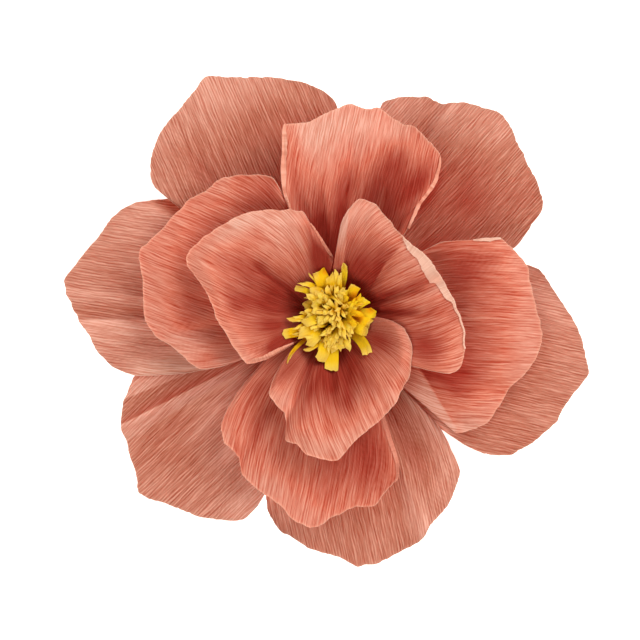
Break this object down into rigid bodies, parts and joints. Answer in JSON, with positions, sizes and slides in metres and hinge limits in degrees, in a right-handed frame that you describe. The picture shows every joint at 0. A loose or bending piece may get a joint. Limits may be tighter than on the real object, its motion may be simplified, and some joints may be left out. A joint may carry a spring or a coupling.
{
  "type": "crepe paper peony",
  "caption": "Open peony of gathered crepe paper petals in three overlapping rings round a rolled fringe of stamens, glued on a round card disc to lie or hang face out.",
  "frame": {"origin": "centre of the card disc's flat back face, on the flower's axis", "axes": "+Z along the flower's axis towards whoever looks into the flower; +X to the right and +Y to the top of the flower as it is looked at"},
  "size_m": [0.285, 0.2663, 0.0582],
  "materials": {
    "card": "matt white card",
    "outer_crepe": "matt coral crepe paper, coarse ridges from foot to rim",
    "middle_crepe": "matt coral crepe paper, fine ridges from foot to rim",
    "inner_crepe": "matt coral crepe paper, fine ridges from foot to rim",
    "fringe_crepe": "matt yellow crepe paper"
  },
  "bodies": {
    "root": {"back_disc": "card", "outer_petal_1": "outer_crepe", "outer_petal_2": "outer_crepe", "outer_petal_3": "outer_crepe", "outer_petal_4": "outer_crepe", "outer_petal_5": "outer_crepe", "outer_petal_6": "outer_crepe", "middle_petal_1": "middle_crepe", "middle_petal_2": "middle_crepe", "middle_petal_3": "middle_crepe", "middle_petal_4": "middle_crepe", "inner_petal_1": "inner_crepe", "inner_petal_2": "inner_crepe", "inner_petal_3": "inner_crepe", "stamen_roll": "fringe_crepe"}
  },
  "joints": []
}
